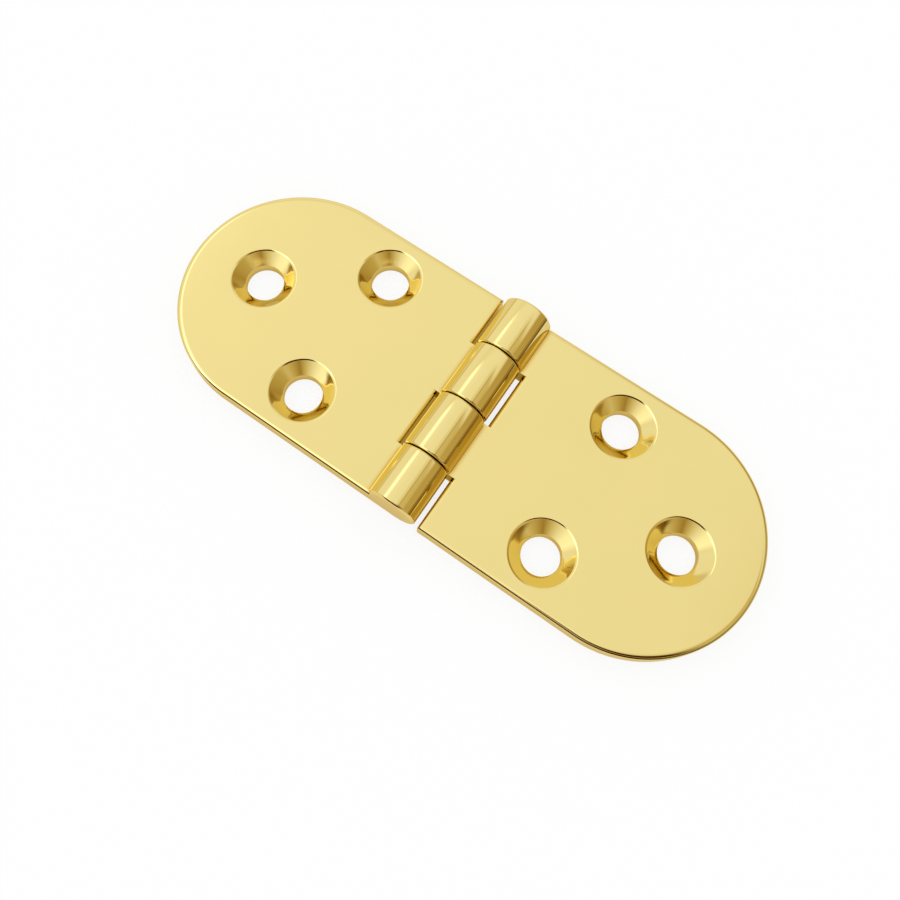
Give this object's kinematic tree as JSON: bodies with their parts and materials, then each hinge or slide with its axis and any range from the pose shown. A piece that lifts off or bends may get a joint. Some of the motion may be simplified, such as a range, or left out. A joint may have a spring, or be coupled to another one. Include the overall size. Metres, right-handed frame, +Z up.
{
  "type": "butt hinge",
  "caption": "Flat brass butt hinge with half-round leaves, countersunk screw holes and a raised barrel; swings a flap on a table or counter.",
  "frame": {"origin": "on the plane of the leaves' backs, under the middle of the pin", "axes": "+X along the length toward the right leaf's tip, +Y along the pin, +Z up out of the countersunk faces"},
  "size_m": [0.08, 0.03, 0.0065],
  "materials": {
    "polished_brass": "polished",
    "pin_brass": "polished"
  },
  "bodies": {
    "fixed_leaf": {"left_leaf": "polished_brass", "pin": "pin_brass"},
    "swinging_leaf": {"right_leaf": "polished_brass"}
  },
  "joints": [
    {"name": "leaf_swing", "type": "hinge", "parent": "fixed_leaf", "child": "swinging_leaf", "pos_m": [0, 0, 0.00325], "axis": [0, -1, 0], "range_deg": [-90, 180]}
  ]
}
